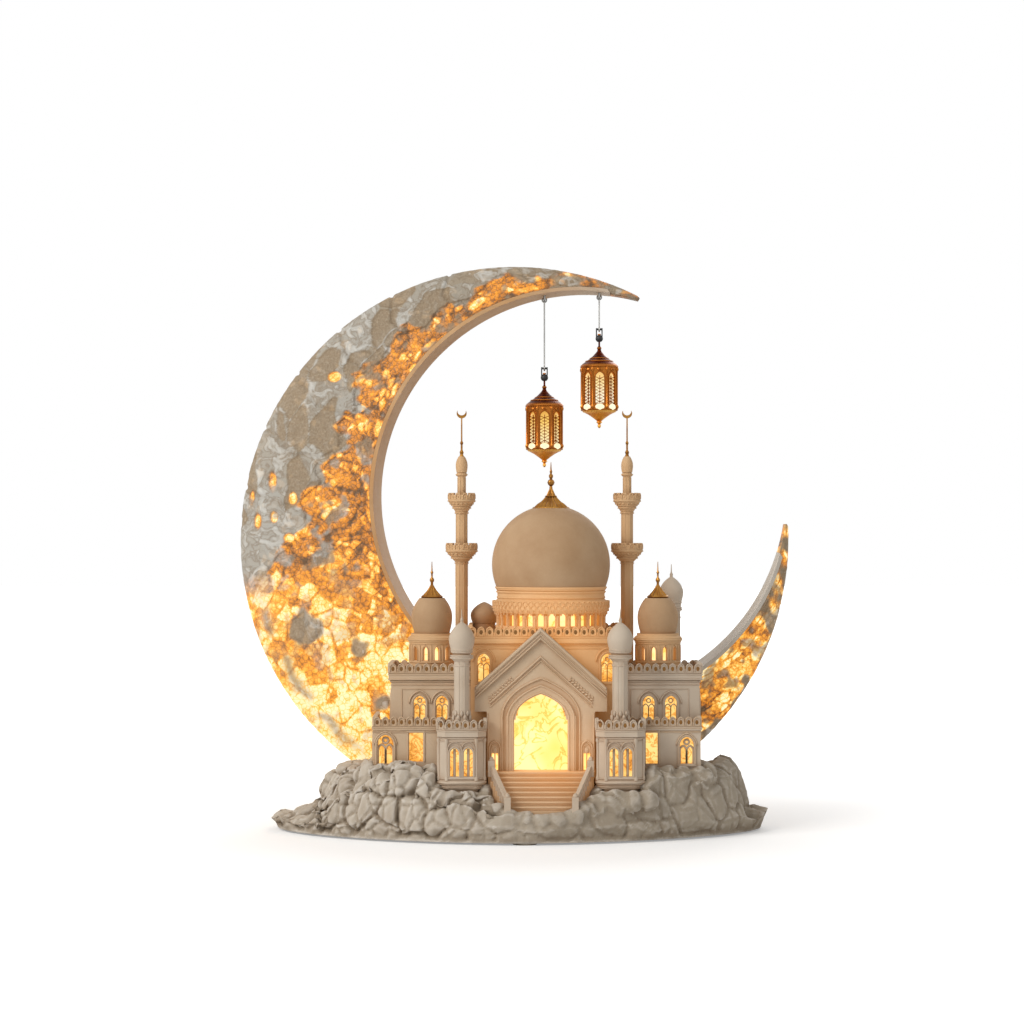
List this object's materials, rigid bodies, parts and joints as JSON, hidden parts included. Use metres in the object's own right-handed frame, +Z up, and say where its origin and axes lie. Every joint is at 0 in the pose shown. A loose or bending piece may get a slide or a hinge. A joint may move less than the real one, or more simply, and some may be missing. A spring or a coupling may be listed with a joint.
{
  "type": "lit mosque table decoration",
  "caption": "Cast mosque with domes and minarets on a plaster rock, in front of a glowing crescent moon from which pierced lanterns hang; battery lit.",
  "frame": {"origin": "on the table, under the middle of the object's box", "axes": "+Z up, -Y towards the viewer (the portal side), +X to the viewer's right"},
  "size_m": [0.294, 0.138, 0.2955],
  "materials": {
    "rock": "matte lumpy plaster",
    "plaster": "matte cast plaster, warm cream",
    "gold": "aged satin gold",
    "amber_sheet": "lit amber sheet",
    "moon_shell": "cracked plates over glowing amber resin",
    "moon_rim": "smooth matte beige",
    "lantern_copper": "dark copper enamel",
    "lamp": "warm lit lamp",
    "steel": "plain wire and screws",
    "black_plastic": "fine texture",
    "white_plastic": "smooth",
    "rubber": "matte",
    "cell": "plain sleeve",
    "lead": "insulated lead"
  },
  "bodies": {
    "decoration": {"rock_base": "rock", "terrace": "plaster", "front_stairs": "plaster", "stair_rails": "plaster", "central_hall": "plaster", "portal": "plaster", "hall_drum": "plaster", "main_dome": "plaster", "left_tower": "plaster", "right_tower": "plaster", "left_wing": "plaster", "right_wing": "plaster", "side_drums": "plaster", "side_domes": "plaster", "left_pavilion": "plaster", "right_pavilion": "plaster", "left_turret": "plaster", "right_turret": "plaster", "left_minaret": "plaster", "right_minaret": "plaster", "rear_turret": "plaster", "rear_cupola": "plaster", "main_dome_cap": "gold", "main_dome_finial": "gold", "side_dome_caps": "gold", "minaret_finials": "gold", "portal_panel": "amber_sheet", "drum_diffuser": "amber_sheet", "window_panels": "amber_sheet", "crescent_front_shell": "moon_shell", "crescent_back_shell": "moon_shell", "crescent_inner_rim": "moon_rim", "base_plate_screws": "steel", "battery_contacts": "steel", "switch_body": "steel", "crescent_screws": "steel", "lantern_staples": "steel", "base_plate": "black_plastic", "battery_holder": "black_plastic", "crescent_foot": "black_plastic", "led_board": "white_plastic", "crescent_led_strip": "white_plastic", "base_feet": "rubber", "battery_cells": "cell", "wiring": "lead"},
    "left_wire": {"left_lantern_wire": "steel"},
    "left_swivel": {"left_lantern_swivel": "lantern_copper"},
    "left_lantern": {"left_lantern_cap": "lantern_copper", "left_lantern_cage": "lantern_copper", "left_lantern_lamp": "lamp", "left_lantern_base": "gold"},
    "right_wire": {"right_lantern_wire": "steel"},
    "right_swivel": {"right_lantern_swivel": "lantern_copper"},
    "right_lantern": {"right_lantern_cap": "lantern_copper", "right_lantern_cage": "lantern_copper", "right_lantern_lamp": "lamp", "right_lantern_base": "gold"},
    "battery_door": {"battery_door": "black_plastic"},
    "switch_slider": {"switch_slider": "white_plastic"}
  },
  "joints": [
    {"name": "left_swing", "type": "hinge", "parent": "decoration", "child": "left_wire", "pos_m": [0.016, 0.047, 0.27756], "axis": [0, 1, 0], "range_deg": [-3, 25]},
    {"name": "left_tilt", "type": "hinge", "parent": "left_wire", "child": "left_swivel", "pos_m": [0.016, 0.047, 0.24096], "axis": [1, 0, 0], "range_deg": [-25, 25]},
    {"name": "left_turn", "type": "hinge", "parent": "left_swivel", "child": "left_lantern", "pos_m": [0.016, 0.047, 0.23596], "axis": [0, 0, 1], "continuous": true},
    {"name": "right_swing", "type": "hinge", "parent": "decoration", "child": "right_wire", "pos_m": [0.0454, 0.047, 0.279], "axis": [0, 1, 0], "range_deg": [-25, 3]},
    {"name": "right_tilt", "type": "hinge", "parent": "right_wire", "child": "right_swivel", "pos_m": [0.0454, 0.047, 0.2619], "axis": [1, 0, 0], "range_deg": [-25, 25]},
    {"name": "right_turn", "type": "hinge", "parent": "right_swivel", "child": "right_lantern", "pos_m": [0.0454, 0.047, 0.2569], "axis": [0, 0, 1], "continuous": true},
    {"name": "battery_door_hinge", "type": "hinge", "parent": "decoration", "child": "battery_door", "pos_m": [-0.02285, -0.0266, 0.0022], "axis": [-1, 0, 0], "range_deg": [0, 100]},
    {"name": "switch_slide", "type": "slide", "parent": "decoration", "child": "switch_slider", "axis": [1, 0, 0], "range_m": [0, 0.004]}
  ]
}
